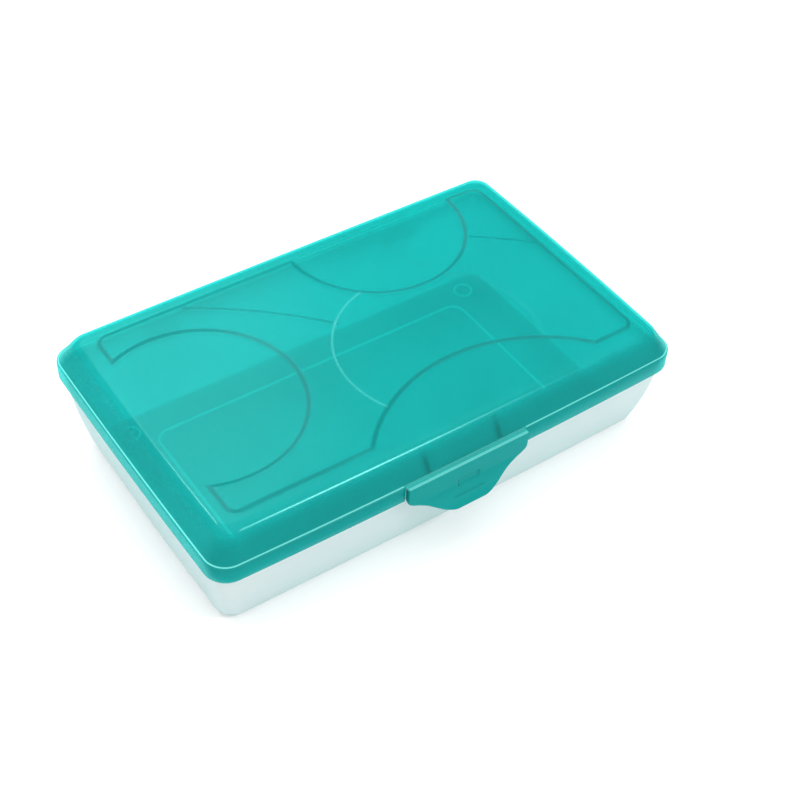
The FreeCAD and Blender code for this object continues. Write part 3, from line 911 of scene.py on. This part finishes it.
# name, direction towards it, strength, and width in degrees
LAMPS = (("overhead", (0.05, 0.15, 0.99), 0.55, 60),
         ("sheen", (0.05, 0.72, 0.69), 0.70, 40),
         ("front_streak", (0.36, -0.56, 0.75), 0.80, 9),
         ("left_streak", (-0.32, 0.57, 0.75), 0.25, 6))
CAMERA = {"azimuth": -36.51, "elevation": 45.09, "distance": 813.90, "target": (7.83, -18.22, 35.0),
          "roll": 2.88, "lens": 66.70}


def sun(name, towards, strength, spread):
    """A far, soft-edged lamp in the direction towards, spread degrees wide."""
    data = bpy.data.lights.new(name, "SUN")
    data.energy = strength
    data.angle = math.radians(spread)
    light = bpy.data.objects.new(name, data)
    light.rotation_euler = (-Vector(towards)).to_track_quat("-Z", "Y").to_euler()
    bpy.context.scene.collection.objects.link(light)


def make_stage():
    """A plain pale floor, a white studio round it and four soft lamps."""
    bpy.ops.mesh.primitive_plane_add(size=FLOOR_SIZE, location=(0, 0, 0))
    floor = bpy.context.object
    floor.name = "floor"
    material = bpy.data.materials.new("pale_floor")
    material.use_nodes = True
    shader = material.node_tree.nodes["Principled BSDF"]
    shader.inputs["Base Color"].default_value = (*FLOOR_COLOUR, 1)
    shader.inputs["Roughness"].default_value = 0.75
    shader.inputs["Emission Color"].default_value = (1, 1, 1, 1)
    shader.inputs["Emission Strength"].default_value = FLOOR_GLOW
    put_on(floor, material)
    world = bpy.data.worlds.new("studio")
    world.use_nodes = True
    background = world.node_tree.nodes["Background"]
    background.inputs["Color"].default_value = (1, 1, 1, 1)
    background.inputs["Strength"].default_value = 1.0
    bpy.context.scene.world = world
    bpy.context.scene.view_settings.view_transform = "Standard"
    for name, towards, strength, spread in LAMPS:
        sun(name, towards, strength, spread)


def make_camera():
    """Looks down on the case from the front left."""
    azimuth, elevation = math.radians(CAMERA["azimuth"]), math.radians(CAMERA["elevation"])
    target = Vector(CAMERA["target"]) * MM
    back = Vector((math.sin(azimuth) * math.cos(elevation), -math.cos(azimuth) * math.cos(elevation),
                   math.sin(elevation)))
    right = Vector((0, 0, 1)).cross(back).normalized()
    up = back.cross(right)
    roll = math.radians(CAMERA["roll"])
    rolled_right = math.cos(roll) * right + math.sin(roll) * up
    rolled_up = math.cos(roll) * up - math.sin(roll) * right
    data = bpy.data.cameras.new("camera")
    data.sensor_width = 36.0
    data.lens = CAMERA["lens"]
    camera = bpy.data.objects.new("camera", data)
    axes = Matrix((rolled_right, rolled_up, back)).transposed()
    camera.matrix_world = Matrix.Translation(target + back * CAMERA["distance"] * MM) @ axes.to_4x4()
    bpy.context.scene.collection.objects.link(camera)
    bpy.context.scene.camera = camera


# ---- the case ----

make_camera()
make_stage()

teal = plastic("teal_polypropylene", TEAL, TEAL_MOTTLE_AND_SHADE, TEAL_HIGHLIGHT,
               rough=0.18, mottle=0.20, clear=0.80, clear_tint=TEAL_CLEAR)
teal_inside = plastic("teal_inner_face", TEAL, TEAL_MOTTLE_AND_SHADE, TEAL_HIGHLIGHT,
                      rough=0.25, mottle=0.16, clear=0.97, clear_tint=TEAL_INNER_CLEAR)
# the latch: teal with painted shade in, and almost no clear sight
teal_latch_shaded = plastic("teal_latch_polypropylene", LATCH_SHADED_TEAL, TEAL_MOTTLE_AND_SHADE, TEAL_HIGHLIGHT,
                     rough=0.18, mottle=0.05, clear=0.04, clear_tint=TEAL_CLEAR)
milk = plastic("clear_polypropylene", MILK, MILK_MOTTLE_AND_SHADE, MILK_HIGHLIGHT,
               rough=0.30, mottle=0.03, clear=0.06, clear_tint=MILK_CLEAR)

lid = make_lid()
put_on(lid, teal, teal_inside)
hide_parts("lid_shell")
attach(lid, "lid")

tray = make_tray()
put_on(tray, milk)
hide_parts("base_tray")
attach(tray, "tray")

latch = make_latch()
put_on(latch, teal_latch_shaded)
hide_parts("latch_flap")
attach(latch, "latch")

web = make_web()
put_on(web, teal)
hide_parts("latch_hinge_web")
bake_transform(web)

for side in ("left", "right"):
    for kind, material in (("hook", teal), ("pin", milk)):
        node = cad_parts[f"hinge_{kind}_{side}"]
        put_on(node, material)
